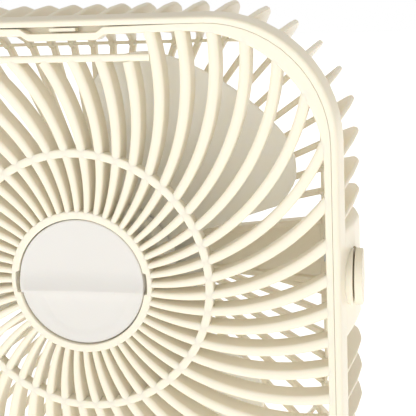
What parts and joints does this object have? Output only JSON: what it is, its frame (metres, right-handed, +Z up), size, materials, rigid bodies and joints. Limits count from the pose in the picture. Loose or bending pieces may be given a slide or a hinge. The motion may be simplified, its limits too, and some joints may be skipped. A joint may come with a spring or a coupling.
{
  "type": "box fan",
  "caption": "Small square desk box fan with a spiral front grille, a finned cage, a wide-bladed impeller, a turn-lock centre cap, a side speed dial and two cross feet.",
  "frame": {"origin": "under the middle of the fan, on the surface that its foot pads stand on", "axes": "+X to the right seen from the front, +Y from the front grille to the rear grille along the motor axis, +Z up"},
  "size_m": [0.214, 0.084, 0.222],
  "materials": {
    "ivory": "semi-gloss moulded ABS",
    "cap_ivory": "satin moulded ABS",
    "impeller_ivory": "glossy moulded AS resin",
    "dial_ivory": "satin moulded ABS with a knurled rim",
    "white_nylon": "natural nylon",
    "dark_plastic": "black moulded control body",
    "screw_steel": "zinc-plated steel",
    "can_steel": "drawn steel",
    "core_steel": "stacked laminations",
    "copper": "enamelled copper wire",
    "magnet": "bonded ferrite",
    "circuit_board": "green circuit board",
    "pad_rubber": "matt rubber"
  },
  "bodies": {
    "housing": {"front_frame": "ivory", "front_grille": "ivory", "cage_top": "ivory", "cage_bottom": "ivory", "cage_left": "ivory", "cage_right": "ivory", "cage_corner_upper_right": "ivory", "cage_corner_upper_left": "ivory", "cage_corner_lower_left": "ivory", "cage_corner_lower_right": "ivory", "rear_grille": "ivory", "motor_cup": "white_nylon", "rear_cover": "ivory", "stator_core": "core_steel", "stator_windings": "copper", "motor_board": "circuit_board", "front_bearing": "screw_steel", "rear_bearing": "screw_steel", "motor_screws": "screw_steel", "dial_control": "dark_plastic", "control_board": "circuit_board", "control_cover": "ivory", "power_socket": "can_steel", "frame_screws": "screw_steel", "left_foot": "ivory", "right_foot": "ivory", "foot_pads": "pad_rubber"},
    "rotor": {"motor_shaft": "screw_steel", "rotor_can": "can_steel", "magnet_ring": "magnet", "impeller": "impeller_ivory", "impeller_nut": "white_nylon"},
    "cap": {"centre_cap": "cap_ivory", "cap_lock_plate": "white_nylon", "cap_screw": "screw_steel"},
    "latch": {"grille_latch": "ivory"},
    "dial": {"speed_dial": "dial_ivory", "dial_shaft": "white_nylon"}
  },
  "joints": [
    {"name": "impeller_spin", "type": "hinge", "parent": "housing", "child": "rotor", "pos_m": [0, 0, 0.116], "axis": [0, 1, 0], "continuous": true},
    {"name": "cap_turn", "type": "hinge", "parent": "housing", "child": "cap", "pos_m": [0, 0, 0.116], "axis": [0, -1, 0], "range_deg": [0, 90]},
    {"name": "latch_press", "type": "slide", "parent": "housing", "child": "latch", "axis": [0, 1, 0], "range_m": [0, 0.0015], "stiffness_N_per_m": 300},
    {"name": "dial_turn", "type": "hinge", "parent": "housing", "child": "dial", "pos_m": [0.105, -0.0085, 0.115], "axis": [1, 0, 0], "range_deg": [0, 270]}
  ]
}
